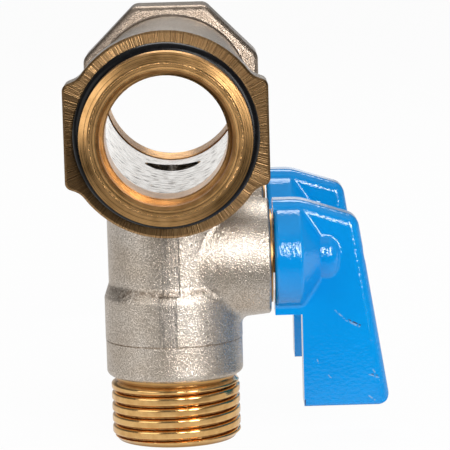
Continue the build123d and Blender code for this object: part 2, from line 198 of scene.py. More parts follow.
def ring_faces(rows, columns):
    """Quads of a grid that closes on itself both ways, facing outwards for a profile that runs against the
    clock in the plane of radius and distance along the axis."""
    row, column = np.meshgrid(np.arange(rows), np.arange(columns), indexing="ij")
    next_row, next_column = (row + 1) % rows, (column + 1) % columns
    ring = ((row, column), (next_row, column), (next_row, next_column), (row, next_column))
    return np.stack([(r * columns + c).ravel() for r, c in ring], axis=1)


def enclosed_volume(points, faces):
    """Signed volume inside quads: a sixth of the sum of the triple products of their triangles."""
    a, b, c, d = (points[faces[:, k]] for k in range(4))
    return (np.einsum("ij,ij->i", a, np.cross(b, c)) + np.einsum("ij,ij->i", a, np.cross(c, d))).sum() / 6


def around(axis, radius, along, turn):
    """Points at a radius, a distance along Y or Z and an angle that runs right-handed about that axis."""
    across, up = radius * np.cos(turn), radius * np.sin(turn)
    along = np.broadcast_to(along, across.shape)
    order = (up, along, across) if axis == "Y" else (across, up, along)
    return np.stack(order, axis=-1)


def profile_rows(points, step):
    """A closed outline of (radius, distance) walked in steps no longer than given, its corners kept. The
    step is one length, or one for the side that starts at each corner."""
    corners = np.asarray(points, float)
    ends = np.roll(corners, -1, axis=0)
    spans = np.linalg.norm(ends - corners, axis=1)
    counts = np.maximum(1, np.ceil(spans / step)).astype(int)
    runs = [
        start + (end - start) * np.linspace(0, 1, count, endpoint=False)[:, None]
        for start, end, count in zip(corners, ends, counts)
    ]
    return np.concatenate(runs)


def thread_height(phase, sizes):
    """Height of a thread, 1 on the crest and 0 in the root, against its turns from a crest's middle:
    (1 - s^5)^0.7, with s the share of the way from the crest's middle to the flat root."""
    off = np.abs(phase - np.round(phase)) * sizes.pitch
    share = np.clip(2 * off / (sizes.pitch - sizes.root), 0, 1)
    return (1 - share**5) ** 0.7


def eased(value, low, high):
    """0 below low, 1 above high and a cubic between."""
    t = np.clip((value - low) / (high - low), 0, 1)
    return t * t * (3 - 2 * t)


def threaded_ring(axis, rows, columns, cut):
    """Ring whose outline is carried round an axis: each point keeps its distance along the axis, and its
    radius is what cut gives for the outline's radius, that distance and the angle."""
    turn = np.linspace(0, 2 * pi, columns, endpoint=False)[None, :]
    radius, along = rows[:, :1], rows[:, 1:]
    points = around(axis, cut(radius, along, turn), along + 0 * turn, turn + 0 * along).reshape(-1, 3)
    faces = ring_faces(len(rows), columns)
    if enclosed_volume(points, faces) < 0:
        faces = faces[:, ::-1]
    return points, faces


# Finishes


def new_finish(name, **sockets):
    """Material with values that are the same all over set on its shader's own sockets."""
    material = bpy.data.materials.new(name)
    material.use_nodes = True
    shader = material.node_tree.nodes["Principled BSDF"]
    for socket, value in sockets.items():
        shader.inputs[socket.replace("_", " ")].default_value = value
    return material


def add(material, kind, inputs=(), **settings):
    """Adds a node, with a value or another node's output for each of its named or numbered inputs."""
    tree = material.node_tree
    made = tree.nodes.new("ShaderNode" + kind)
    for key, value in settings.items():
        setattr(made, key, value)
    for key, value in dict(inputs).items():
        if isinstance(value, bpy.types.NodeSocket):
            tree.links.new(value, made.inputs[key])
        else:
            made.inputs[key].default_value = value
    return made


def into(material, **sockets):
    """Links node outputs to the shader's sockets."""
    shader = material.node_tree.nodes["Principled BSDF"]
    for socket, output in sockets.items():
        material.node_tree.links.new(output, shader.inputs[socket.replace("_", " ")])


def place(material, centre=(0, 0, 0)):
    """Object coordinates about a centre."""
    at = add(material, "TexCoord").outputs["Object"]
    return add(material, "Mapping", {"Vector": at, "Location": [-c for c in centre]}).outputs["Vector"]


def maths(material, operation, *values):
    """One arithmetic step."""
    return add(material, "Math", dict(enumerate(values)), operation=operation).outputs["Value"]


def lumps(material, at, size, detail=2.0, rough=0.5):
    """Noise with lumps of about a size."""
    node = add(material, "TexNoise", {"Vector": at, "Scale": 1 / size, "Detail": detail, "Roughness": rough})
    return node.outputs["Fac"]


def lines(material, value, detail=2.0):
    """Noise along one value, for tool marks."""
    keys = {"W": value, "Scale": 1.0, "Detail": detail, "Roughness": 0.6}
    return add(material, "TexNoise", keys, noise_dimensions="1D").outputs["Fac"]


def shades(material, value, *stops):
    """Colours by a value, from (value, colour) stops."""
    node = add(material, "ValToRGB", {"Fac": value})
    ramp = node.color_ramp
    while len(ramp.elements) < len(stops):
        ramp.elements.new(1.0)
    for element, (position, tint) in zip(ramp.elements, stops):
        element.position = position
        element.color = (*tint, 1.0)
    return node.outputs["Color"]


def span(material, value, low, high, to_low, to_high):
    """A value moved from one range to another, held at the ends."""
    keys = {"Value": value, "From Min": low, "From Max": high, "To Min": to_low, "To Max": to_high}
    return add(material, "MapRange", keys, clamp=True).outputs["Result"]


def raised(material, height, depth, strength=1.0, under=None):
    """Normal of a surface raised by a height of 0 to 1 times a depth."""
    keys = {"Height": height, "Distance": depth, "Strength": strength}
    if under is not None:
        keys["Normal"] = under
    return add(material, "Bump", keys).outputs["Normal"]


def diagonal(material, across, up):
    """Square root of the sum of two squares."""
    squares = [maths(material, "POWER", side, 2.0) for side in (across, up)]
    return maths(material, "SQRT", maths(material, "ADD", *squares))


def about_header(material):
    """Radius from, angle round and distance along the header's axis."""
    parts = add(material, "SeparateXYZ", {"Vector": place(material)}).outputs
    radius = diagonal(material, parts["X"], parts["Z"])
    return radius, maths(material, "ARCTAN2", parts["Z"], parts["X"]), parts["Y"]


def near_point(material, at, centre, reach):
    """1 at a place, fading to 0 at a reach from it."""
    away = add(material, "VectorMath", {0: at, 1: centre}, operation="DISTANCE").outputs["Value"]
    return span(material, away, 0.3 * reach, reach, 1.0, 0.0)


def near_line(material, at, start, end, width):
    """1 on a straight line between two places, fading to 0 at a width from it."""
    reach = [b - a for a, b in zip(start, end)]
    size = sum(r * r for r in reach)
    offset = add(material, "VectorMath", {0: at, 1: start}, operation="SUBTRACT").outputs["Vector"]
    scaled = {0: offset, 1: [r / size for r in reach]}
    share = add(material, "VectorMath", scaled, operation="DOT_PRODUCT").outputs["Value"]
    held = span(material, share, 0.0, 1.0, 0.0, 1.0)
    foot = add(material, "VectorMath", {0: reach, "Scale": held}, operation="SCALE").outputs["Vector"]
    away = add(material, "VectorMath", {0: offset, 1: foot}, operation="DISTANCE").outputs["Value"]
    return span(material, away, 0.35 * width, width, 1.0, 0.0)


def within(material, value, low, high, soft):
    """1 while a value lies between two bounds, fading to 0 over a soft edge."""
    up = span(material, value, low - soft, low + soft, 0.0, 1.0)
    return maths(material, "MULTIPLY", up, span(material, value, high - soft, high + soft, 1.0, 0.0))


def largest(material, values):
    """Greatest of several values."""
    top = values[0]
    for value in values[1:]:
        top = maths(material, "MAXIMUM", top, value)
    return top


def blend(material, share, under, over):
    """One colour laid over another by a share."""
    layers = [c if isinstance(c, bpy.types.NodeSocket) else (*c, 1.0) for c in (under, over)]
    return add(material, "MixRGB", {"Fac": share, "Color1": layers[0], "Color2": layers[1]}).outputs["Color"]


def stretched(material, at, scale):
    """Coordinates drawn out along the axes."""
    return add(material, "VectorMath", {0: at, 1: scale}, operation="MULTIPLY").outputs["Vector"]


SEAM_BANDS = ((-1.43, 1.23, -26.95, -14.0), (-2.08, 0.58, -35.0, -26.95))  # mm: x from, to; z from, to
STAINS = ((-8.4, 22.6, -27.2, 1.9), (-6.3, 20.4, -27.6, 1.2), (10.8, 21.3, -22.5, 0.7))  # mm: place; reach


def blasted_nickel(tints):
    """Nickel over a shot-blasted forging: a fine raised grain that glitters, a slow warm drift of tone, a
    darker, browner octagon, darker drawn streaks on the raised, trimmed seams with painted shade along their
    rims, a few smudges, and painted shade broken into specks in the crease above the flare."""
    made = new_finish("blasted_nickel", Metallic=1.0)
    at = place(made)
    parts = add(made, "SeparateXYZ", {"Vector": at}).outputs
    grain = lumps(made, at, 0.00022, 2.0, 0.6)
    coarse = lumps(made, at, 0.00065, 2.0)
    drift = lumps(made, at, 0.007, 2.0)
    metal = shades(made, grain, (0.36, tints.nickel_pit), (0.60, tints.nickel))
    warm = shades(made, drift, (0.30, (0.88, 0.83, 0.77)), (0.70, (1.0, 1.0, 1.0)))
    tone = add(made, "VectorMath", {0: metal, 1: warm}, operation="MULTIPLY").outputs["Vector"]
    # The octagon, from 85 to 87.5 mm along the header onwards, takes a darker, browner tone.
    far_end = span(made, parts["Y"], 85.0 * MM, 87.5 * MM, 0.0, 1.0)
    tone = blend(made, far_end, tone, [a * b for a, b in zip(tints.nickel, (0.45, 0.395, 0.35))])
    bands = [
        maths(
            made,
            "MULTIPLY",
            within(made, parts["X"], left * MM, right * MM, 0.12 * MM),
            within(made, parts["Z"], low * MM, high * MM, 0.15 * MM),
        )
        for left, right, low, high in SEAM_BANDS
    ]
    band_edges = raised(made, largest(made, bands), 0.00016, 1.0)
    streaks = lumps(made, stretched(made, at, (4200.0, 500.0, 420.0)), 1.0, 3.0)
    drawn = maths(made, "MULTIPLY", largest(made, bands), span(made, streaks, 0.36, 0.62, 0.75, 0.05))
    # Painted shade: thin lines along both rims of each seam band, broken by coarse noise.
    rims = [
        maths(
            made,
            "MULTIPLY",
            maths(
                made,
                "MAXIMUM",
                within(made, parts["X"], (left - 0.1) * MM, (left + 0.1) * MM, 0.08 * MM),
                within(made, parts["X"], (right - 0.1) * MM, (right + 0.1) * MM, 0.08 * MM),
            ),
            within(made, parts["Z"], low * MM, high * MM, 0.15 * MM),
        )
        for left, right, low, high in SEAM_BANDS
    ]
    rim_shade = maths(made, "MULTIPLY", largest(made, rims), span(made, coarse, 0.38, 0.58, 0.2, 0.75))
    # Drawn streaks on the seams, and the painted shade along their rims, both darken the nickel.
    tone = blend(made, maths(made, "MAXIMUM", drawn, rim_shade), tone, [0.40 * c for c in tints.nickel])
    spots = [near_point(made, at, [c * MM for c in spot[:3]], spot[3] * MM) for spot in STAINS]
    # Painted shade: a band in the crease above the flare, over the neck except its right side, darkened with
    # the stain colour and broken into specks.
    flare = within(made, parts["Z"], -27.1 * MM, -26.0 * MM, 0.3 * MM)
    flare = maths(made, "MULTIPLY", flare, span(made, parts["X"], 5.0 * MM, 8.0 * MM, 1.0, 0.0))
    flare = maths(made, "MULTIPLY", flare, span(made, lumps(made, at, 0.0007, 3.0), 0.42, 0.64, 0.22, 0.7))
    patchy = span(made, lumps(made, at, 0.0006, 3.0), 0.44, 0.62, 0.0, 0.7)
    # Real smudges at the listed spots, joined with the painted shade above the flare.
    smudge_and_shade = maths(made, "MULTIPLY", largest(made, spots), patchy)
    smudge_and_shade = maths(made, "MAXIMUM", smudge_and_shade, flare)
    into(
        made,
        # The stain colour gives both the smudges and the painted shade above the flare.
        Base_Color=blend(made, smudge_and_shade, tone, tints.stain),
        Roughness=span(made, grain, 0.35, 0.65, 0.36, 0.22),
        Normal=raised(made, grain, 0.00010, 0.95, raised(made, coarse, 0.00010, 0.6, band_edges)),
    )
    return made


def turned_brass(tints):
    """Bright brass with the rings that a lathe leaves about the header, and a burr on the nose's edge."""
    made = new_finish("turned_brass", Metallic=1.0)
    radius, _, along = about_header(made)
    walk = maths(made, "ADD", maths(made, "MULTIPLY", radius, 3900.0), maths(made, "MULTIPLY", along, 3300.0))
    rings = lines(made, walk, 3.0)
    at = place(made)
    stain = lumps(made, at, 0.0030, 4.0, 0.6)
    tone = maths(made, "ADD", maths(made, "MULTIPLY", rings, 0.3), maths(made, "MULTIPLY", stain, 0.7))
    edge = maths(
        made,
        "MULTIPLY",
        within(made, radius, NOSE_FACE_R - 0.12 * MM, NOSE_FACE_R + 0.18 * MM, 0.08 * MM),
        within(made, along, -NEAR, 0.2 * MM, NEAR),
    )
    burr = maths(made, "MULTIPLY", edge, lumps(made, at, 0.0005, 2.0))
    into(
        made,
        Base_Color=shades(made, tone, (0.36, tints.brass_dark), (0.58, tints.brass)),
        Roughness=span(made, rings, 0.3, 0.7, 0.24, 0.36),
        Normal=raised(made, burr, 0.0005, 0.7, raised(made, rings, 0.00002, 0.4)),
    )
    return made


def faced_brass(tints):
    """Dull brass of the machined shoulder, with fine chatter lines that run out from the axis, and a painted
    sheen: full colour at the top and bottom of the shoulder, painted darker towards its sides.
    """
    made = new_finish("faced_brass", Metallic=1.0)
    _, turn, _ = about_header(made)
    sway = maths(made, "MULTIPLY", lumps(made, place(made), 0.004, 2.0), 0.8)
    chatter = lines(made, maths(made, "ADD", maths(made, "MULTIPLY", turn, 88.0), sway), 1.0)
    patch = lumps(made, place(made), 0.0016, 4.0, 0.65)
    tone = maths(made, "ADD", maths(made, "MULTIPLY", chatter, 0.75), maths(made, "MULTIPLY", patch, 0.25))
    # Painted sheen: dull is a shaded copy of the faced colour, laid on the sides of the shoulder and faded
    # out towards its top and bottom.
    painted_sheen_by_angle = maths(made, "ABSOLUTE", maths(made, "SINE", turn))
    dull = add(made, "VectorMath", {0: tints.faced, "Scale": 0.40}, operation="SCALE").outputs["Vector"]
    light = blend(made, span(made, painted_sheen_by_angle, 0.2, 0.9, 0.0, 1.0), dull, tints.faced)
    into(
        made,
        Base_Color=blend(made, span(made, tone, 0.38, 0.60, 0.0, 1.0), tints.faced_dark, light),
        Roughness=span(made, tone, 0.3, 0.7, 0.36, 0.24),
        Normal=raised(made, chatter, 0.00005, 0.6),
    )
    return made


def plated_bore(tints):
    """Pale plated wall of the header, with short dark tool marks round it."""
    made = new_finish("plated_bore", Metallic=1.0)
    _, turn, along = about_header(made)
    across = maths(made, "MULTIPLY", turn, 8.0)
    deep = maths(made, "MULTIPLY", along, 700.0)
    walk = add(made, "CombineXYZ", {"X": across, "Y": deep}).outputs["Vector"]
    marks = lumps(made, walk, 1.0, 0.5, 0.5)
    cloud = lumps(made, place(made), 0.006, 2.0)
    pale = shades(made, cloud, (0.3, [0.92 * c for c in tints.bore]), (0.7, tints.bore))
    into(
        made,
        Base_Color=blend(made, span(made, marks, 0.275, 0.305, 1.0, 0.0), pale, tints.bore_mark),
        Roughness=span(made, marks, 0.3, 0.6, 0.32, 0.20),
    )
    return made


def thread_brass(tints):
    """Cut brass of the threads: bright, warm, with faint marks along the turns and painted shade in the
    roots.
    """
    made = new_finish("thread_brass", Metallic=1.0)
    at = place(made)
    marks = lumps(made, stretched(made, at, (300.0, 300.0, 5200.0)), 1.0, 3.0)
    stain = lumps(made, at, 0.0022, 3.0)
    crests = shades(made, stain, (0.34, tints.cut_dark), (0.6, tints.cut_brass))
    parts = add(made, "SeparateXYZ", {"Vector": at}).outputs
    radii = [diagonal(made, parts["X"], maths(made, "SUBTRACT", parts["Y"], outlet)) for outlet in OUTLETS]
    radius = maths(made, "MINIMUM", *radii)
    sizes = bpy.context.scene.manifold_threads
    root = sizes.outlet_crest - sizes.outlet_depth
    # Painted shade in the thread roots, from just under the root to about a third of the thread's depth up
    # the flanks.
    root_shade = within(made, radius, root - 0.2 * MM, root + 0.35 * sizes.outlet_depth, 0.15 * MM)
    into(
        made,
        Base_Color=blend(made, root_shade, crests, tints.root_shade_colour),
        Roughness=span(made, marks, 0.3, 0.7, 0.13, 0.24),
        Normal=raised(made, marks, 0.00001, 0.25),
    )
    return made


def plain_brass(tints):
    """Turned brass of the stems and glands, about the stems' own axis."""
    made = new_finish("plain_brass", Metallic=1.0)
    at = place(made)
    marks = lumps(made, stretched(made, at, (5200.0, 350.0, 350.0)), 1.0, 3.0)
    into(
        made,
        Base_Color=shades(made, marks, (0.3, tints.faced_dark), (0.6, tints.brass)),
        Roughness=span(made, marks, 0.3, 0.7, 0.24, 0.40),
        Normal=raised(made, marks, 0.00002, 0.4),
    )
    return made


FRONT_Y = 26.5  # mm: front of the first handle's blade
PALE_SCRATCHES = (
    # mm: x and z of one end and the other, half width
    (26.2, -31.0, 27.6, -32.3, 0.16),
    (27.9, -32.6, 30.1, -33.8, 0.20),
    (23.1, -39.0, 23.3, -39.6, 0.12),
    (24.9, -41.6, 25.3, -42.1, 0.13),
    (31.5, -41.7, 33.6, -42.4, 0.16),
    (32.1, -40.9, 32.4, -41.3, 0.14),
    (31.4, -45.2, 32.3, -45.9, 0.15),
)
DARK_SCRATCHES = (
    (28.2, -32.5, 30.2, -33.5, 0.13),
    (31.9, -41.6, 33.9, -42.1, 0.10),
    (33.5, -42.8, 34.0, -43.3, 0.13),
    (21.0, -45.6, 21.0, -46.4, 0.12),
)


def azure_paint(tints):
    """Gloss paint on a casting: a slight orange peel and a slow swell of the film, deeper tone in places,
    tiny specks, and the scratches on the front of the first handle."""
    made = new_finish(
        "azure_paint",
        Roughness=0.5,
        Specular_IOR_Level=0.0,
        Coat_Weight=1.0,
        Coat_Roughness=0.02,
        Coat_IOR=1.65,
    )
    at = place(made)
    peel = lumps(made, at, 0.00055, 2.0)
    swell = lumps(made, at, 0.0036, 2.0)
    tone = shades(made, lumps(made, at, 0.011, 2.0), (0.3, tints.paint_deep), (0.7, tints.paint))
    broken = lumps(made, at, 0.0004, 2.0)

    def marks(lines_mm):
        along = [
            near_line(made, at, (a * MM, FRONT_Y * MM, b * MM), (c * MM, FRONT_Y * MM, d * MM), w * MM)
            for a, b, c, d, w in lines_mm
        ]
        return maths(made, "MULTIPLY", largest(made, along), span(made, broken, 0.40, 0.52, 0.0, 1.0))

    specks = span(made, lumps(made, at, 0.0007, 2.0, 0.45), 0.77, 0.80, 0.0, 1.0)
    pale = maths(made, "MAXIMUM", marks(PALE_SCRATCHES), maths(made, "MULTIPLY", specks, 0.5))
    mixed = blend(made, marks(DARK_SCRATCHES), blend(made, pale, tone, tints.chip), tints.bare)
    film = raised(made, peel, 0.00006, 0.9, raised(made, swell, 0.00010, 0.12))
    into(made, Base_Color=mixed, Coat_Normal=film)
    return made


def satin_rubber(tints):
    """Moulded black rubber with a faint bloom."""
    made = new_finish("satin_rubber", IOR=1.5, Specular_IOR_Level=0.16)
    at = place(made)
    bloom = lumps(made, at, 0.0012, 3.0)
    into(
        made,
        Base_Color=shades(made, bloom, (0.3, tints.rubber), (0.75, [2.0 * c for c in tints.rubber])),
        Roughness=span(made, bloom, 0.3, 0.7, 0.20, 0.28),
        Normal=raised(made, lumps(made, at, 0.0003, 2.0), 0.00001, 0.4),
    )
    return made


def white_seat(tints):
    """Waxy white polymer of the seats."""
    made = new_finish("white_seat", IOR=1.38)
    at = place(made)
    cloud = lumps(made, at, 0.002, 3.0)
    into(
        made,
        Base_Color=shades(made, cloud, (0.3, [0.93 * c for c in tints.seat]), (0.7, tints.seat)),
        Roughness=span(made, cloud, 0.3, 0.7, 0.42, 0.56),
        Normal=raised(made, lumps(made, at, 0.0004, 2.0), 0.00001, 0.3),
    )
    return made


def polished_chrome(tints):
    """Polished ball with fine wipe marks."""
    made = new_finish("polished_chrome", Metallic=1.0)
    at = place(made)
    wipe = lumps(made, stretched(made, at, (2400.0, 260.0, 260.0)), 1.0, 3.0)
    into(
        made,
        Base_Color=shades(made, wipe, (0.3, [0.9 * c for c in tints.chrome]), (0.7, tints.chrome)),
        Roughness=span(made, wipe, 0.3, 0.7, 0.06, 0.16),
    )
    return made


def zinc_plate(tints):
    """Bright zinc of the small fasteners, slightly cloudy."""
    made = new_finish("zinc_plate", Metallic=1.0)
    at = place(made)
    cloud = lumps(made, at, 0.0009, 3.0)
    into(
        made,
        Base_Color=shades(made, cloud, (0.3, [0.8 * c for c in tints.zinc]), (0.7, tints.zinc)),
        Roughness=span(made, cloud, 0.3, 0.7, 0.26, 0.42),
        Normal=raised(made, lumps(made, at, 0.0003, 2.0), 0.00001, 0.4),
    )
    return made


FINISHES = {
    f.__name__: f
    for f in (
        blasted_nickel,
        turned_brass,
        faced_brass,
        plated_bore,
        thread_brass,
        plain_brass,
        azure_paint,
        satin_rubber,
        white_seat,
        polished_chrome,
        zinc_plate,
    )
}


def finish_named(name):
    """The finish of that name, made the first time it is asked for."""
    return bpy.data.materials.get(name) or FINISHES[name](bpy.context.scene.manifold_finish)


def dress(node, finish):
    """Gives a CAD node one finish."""
    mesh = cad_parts[node].data
    mesh.materials.clear()
    mesh.materials.append(finish_named(finish))


# Forged body

NOSE_GROOVE = 5.6 * MM  # the sealing ring's groove starts here
SHOULDER = 8.5 * MM
LIP_END = 12.0 * MM
LIP_R = 9.45 * MM
BORE_R = 12.4 * MM
SOCKET_START = 88.2 * MM
SOCKET_END = 100.1 * MM
HEADER_END = 101.5 * MM
OUTLETS = (30.0 * MM, 75.0 * MM)
OUTLET_INSIDE_R = 9.1 * MM  # outer bound of what is inside a branch
BOSS_X = 15.9 * MM
STEM_Z = -22.2 * MM
GLAND_SEAT_R = 8.9 * MM  # outer bound of the bare seat round a gland
UNDER = 0.12 * MM  # the body's wall lies this far behind a thread's root


def merged_copy(node):
    """Points, triangles and corner normals of a CAD node, with the corners of its loose triangles joined."""
    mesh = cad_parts[node].data
    points = read(mesh.vertices, "co", 3)
    corners = read(mesh.loops, "vertex_index", 1, np.int32)
    normals = read(mesh.corner_normals, "vector", 3)
    rounded = np.round(points.astype(float), 7)
    _, first, joined = np.unique(rounded, axis=0, return_index=True, return_inverse=True)
    faces = joined.reshape(-1)[corners].reshape(-1, 3)
    whole = (faces[:, 0] != faces[:, 1]) & (faces[:, 1] != faces[:, 2]) & (faces[:, 2] != faces[:, 0])
    return points[first].astype(float), faces[whole], normals.reshape(-1, 3, 3)[whole]


def socket_root(sizes):
    """Root radius of the female thread."""
    return sizes.socket_crest + sizes.depth


def lead_start(sizes):
    """Where along the header the nose's lead reaches the radius of the wall behind its thread."""
    slope = NOSE_LEAD / (sizes.nose_crest - NOSE_FACE_R)
    return (sizes.nose_crest - sizes.depth - UNDER - NOSE_FACE_R) * slope


class MANIFOLD_OT_forged_body(bpy.types.Operator):
    """Plated forging with bare machined faces, its plain nose and socket walls set back for their threads"""

    bl_idname = "manifold.forged_body"
    bl_label = "Forged body"

    def execute(self, context):
        sizes = context.scene.manifold_threads
        points, faces, normals = merged_copy("manifold_body")
        radius = np.hypot(points[:, 0], points[:, 2])
        along = points[:, 1]
        on_nose = (np.abs(radius - sizes.nose_crest) < NEAR) & (along < NOSE_GROOVE + NEAR)
        in_socket = (np.abs(radius - sizes.socket_crest) < NEAR) & (along > SOCKET_START - NEAR)
        target = np.where(on_nose, sizes.nose_crest - sizes.depth - UNDER, radius)
        target = np.where(in_socket, socket_root(sizes) + UNDER, target)
        points[:, [0, 2]] *= (target / np.maximum(radius, NEAR))[:, None]
        on_lead = on_nose & (along < NOSE_LEAD + NEAR)
        points[on_lead, 1] = lead_start(sizes)
        middle = points[faces].mean(axis=1)
        first, second, third = (points[faces[:, k]] for k in range(3))
        facing = np.cross(second - first, third - first)
        facing /= np.maximum(np.linalg.norm(facing, axis=1, keepdims=True), 1e-20)
        finishes = self.finish_of(middle, facing)
        names = ("blasted_nickel", "turned_brass", "faced_brass", "plated_bore", "plain_brass")
        piece = build("forged_body", points, faces, [finish_named(n) for n in names], finishes)
        piece.data.normals_split_custom_set(normals.reshape(-1, 3).tolist())
        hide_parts("manifold_body")
        return {"FINISHED"}

    @staticmethod
    def finish_of(middle, facing):
        """Which finish each face takes, from where it lies and which way it looks."""
        x, y, z = middle.T
        radius = np.hypot(x, z)
        inward = (facing[:, 0] * x + facing[:, 2] * z) / np.maximum(radius, NEAR) < -0.3
        chosen = np.zeros(len(middle), int)
        in_bore = inward & (radius < BORE_R + NEAR) & (y > LIP_END - NEAR) & (y < SOCKET_START + NEAR)
        chosen[in_bore | ((np.abs(y - LIP_END) < NEAR) & (radius < BORE_R))] = 3
        for outlet in OUTLETS:
            inside = np.hypot(x, y - outlet) < OUTLET_INSIDE_R
            chosen[inside & (z < -BORE_R + 2 * MM) & (np.abs(x) < BOSS_X)] = 3
            stem = np.hypot(y - outlet, z - STEM_Z)
            chosen[(x > BOSS_X - NEAR) & (stem < GLAND_SEAT_R)] = 4
        nose = (y < SHOULDER - NEAR) | (inward & (radius < LIP_R + NEAR) & (y < LIP_END))
        chosen[nose] = 1
        chosen[(facing[:, 1] < -0.5) & (np.abs(y - SHOULDER) < 0.4 * MM) & (radius > LIP_R + 1.5 * MM)] = 2
        chosen[(facing[:, 1] > 0.9) & (y > HEADER_END - NEAR)] = 2
        chosen[inward & (y > SOCKET_START - NEAR)] = 1
        return chosen


class MANIFOLD_OT_header_threads(bpy.types.Operator):
    """Cut threads of the nose and of the octagonal socket, each a helix about the header's axis"""

    bl_idname = "manifold.header_threads"
    bl_label = "Header threads"

    def execute(self, context):
        sizes = context.scene.manifold_threads
        finish = [finish_named("turned_brass")]
        root = sizes.nose_crest - sizes.depth
        start, hidden = lead_start(sizes), root - 0.5 * MM
        rows = profile_rows(
            [(hidden, start), (root, start), (root, NOSE_GROOVE), (hidden, NOSE_GROOVE)], 0.07 * MM
        )

        def nose(radius, along, turn):
            groove = 1 - thread_height(along / sizes.pitch - turn / (2 * pi), sizes)
            cut = sizes.nose_crest - sizes.depth * groove * eased(along, NOSE_LEAD, 2 * NOSE_LEAD)
            lead = NOSE_FACE_R + along * (sizes.nose_crest - NOSE_FACE_R) / NOSE_LEAD
            return np.where(radius < root - NEAR, radius, np.minimum(cut, lead))

        piece = build("nose_thread", *threaded_ring("Y", rows, 144, nose), finish)
        deep = socket_root(sizes)
        first, last, outside = SOCKET_START + NEAR, HEADER_END - 0.3 * MM, deep + 0.5 * MM
        rows = profile_rows([(outside, first), (outside, last), (deep, last), (deep, first)], 0.07 * MM)

        def socket(radius, along, turn):
            height = thread_height(along / sizes.pitch - turn / (2 * pi), sizes)
            height = height * eased(along, SOCKET_START + 0.4 * MM, SOCKET_START + 1.6 * MM)
            cut = deep - sizes.depth * height
            lead = sizes.socket_crest + np.maximum(along - SOCKET_END, 0)
            return np.where(radius > deep + NEAR, radius, np.maximum(cut, np.minimum(lead, deep)))

        piece = build("socket_thread", *threaded_ring("Y", rows, 144, socket), finish)
        return {"FINISHED"}


class MANIFOLD_OT_outlet_nipples(bpy.types.Operator):
    """Outlet nipples: plated collar above and cut brass thread below, one ring round each outlet's axis"""

    bl_idname = "manifold.outlet_nipples"
    bl_label = "Outlet nipples"

    def execute(self, context):
        sizes = context.scene.manifold_threads
        top, seam, rim, end = -28.8 * MM, -35.0 * MM, -40.95 * MM, -51.55 * MM
        collar, insert, crest = 11.12 * MM, 9.0 * MM, sizes.outlet_crest
        root = crest - sizes.outlet_depth
        corner = np.linspace(0, pi / 2, 7)
        edge = 0.9 * MM
        rounded = [(collar - edge + edge * cos(a), rim + edge - edge * sin(a)) for a in corner]
        outline = [
            (5.0 * MM, top),
            (5.0 * MM, -35.8 * MM),
            (7.5 * MM, -38.8 * MM),
            (7.5 * MM, end + 0.35 * MM),
            (7.85 * MM, end),
            (root - 0.1 * MM, end),
            (root, end + 0.1 * MM),
            (root, rim - 0.9 * MM),
            (root + 0.35 * MM, rim),
            *rounded[::-1],
            (collar, seam - 0.22 * MM),
            (collar - 0.16 * MM, seam - 0.03 * MM),
            (insert, seam - 0.03 * MM),
            (insert, top),
        ]
        threaded = [radius > root - 0.2 * MM and along < rim + NEAR for radius, along in outline]
        rows = profile_rows(outline, np.where(threaded, 0.055 * MM, 0.5 * MM))
        inside = rows[:, 0] < root - 0.4 * MM
        cut_rows = ~inside & (rows[:, 1] < rim + NEAR)

        def outlet(radius, along, turn):
            height = thread_height(along / sizes.pitch - turn / (2 * pi), sizes)
            height = height * eased(-along, -rim + 0.55 * MM, -rim + 1.5 * MM)
            lead = crest - 1.0 * MM + (along - end)
            cut = np.minimum(root + sizes.outlet_depth * height, np.maximum(lead, radius))
            return np.where(cut_rows[:, None] & (along < rim - 0.5 * MM), np.maximum(cut, radius), radius)

        middle = (rows + np.roll(rows, -1, axis=0)) / 2
        bare = (middle[:, 1] < rim - NEAR) | (middle[:, 0] < 8.8 * MM)
        finishes = [finish_named("blasted_nickel"), finish_named("thread_brass")]
        columns = 160
        for valve, outlet_y in zip(VALVES, OUTLETS):
            points, faces = threaded_ring("Z", rows, columns, outlet)
            points[:, 1] += outlet_y
            piece = build(f"threaded_nipple_{valve}", points, faces, finishes, np.repeat(bare, columns))
            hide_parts(f"outlet_nipple_{valve}")
        return {"FINISHED"}


class MANIFOLD_OT_handles(bpy.types.Operator):
    """Gloss paint on the cast handles, and plate on their screws"""

    bl_idname = "manifold.handles"
    bl_label = "Handles"

    def execute(self, context):
        for valve in VALVES:
            dress(f"handle_{valve}", "azure_paint")
            dress(f"handle_screw_{valve}", "zinc_plate")
            dress(f"lock_washer_{valve}", "zinc_plate")
        return {"FINISHED"}


class MANIFOLD_OT_seals(bpy.types.Operator):
    """Rubber of the nose ring and the stem rings, and polymer of the seats and thrust washers"""

    bl_idname = "manifold.seals"
    bl_label = "Seals"

    def execute(self, context):
        dress("nose_o_ring", "satin_rubber")
        for valve in VALVES:
            for ring in ("inner_stem_o_ring", "outer_stem_o_ring"):
                dress(f"{ring}_{valve}", "satin_rubber")
            for ring in ("upper_seat", "lower_seat", "thrust_washer"):
                dress(f"{ring}_{valve}", "white_seat")
        return {"FINISHED"}


class MANIFOLD_OT_valve_metal(bpy.types.Operator):
    """Polish on the balls, and turned brass of the stems and glands"""

    bl_idname = "manifold.valve_metal"
    bl_label = "Balls, stems and glands"

    def execute(self, context):
        for valve in VALVES:
            dress(f"ball_{valve}", "polished_chrome")
            dress(f"stem_{valve}", "plain_brass")
            dress(f"gland_{valve}", "plain_brass")
        return {"FINISHED"}


# Stage

LAMPS = {
    # name: bearing from straight ahead and height, degrees; distance; width and height; radiance
    "front_box": (8.5, 18.0, 0.56, (0.075, 0.24), 14.5),
    "right_box": (31.0, 14.0, 0.56, (0.12, 0.30), 13.5),
    "left_box": (-52.0, 17.0, 0.60, (0.40, 0.42), 1.7),
    "back_box": (180.0, 0.2, 0.110, (0.06, 0.060), 0.68),
    "top_box": (175.0, 58.0, 0.70, (0.45, 0.30), 5.0),
}
MIDDLE = (0.006, 0.045, -0.018)


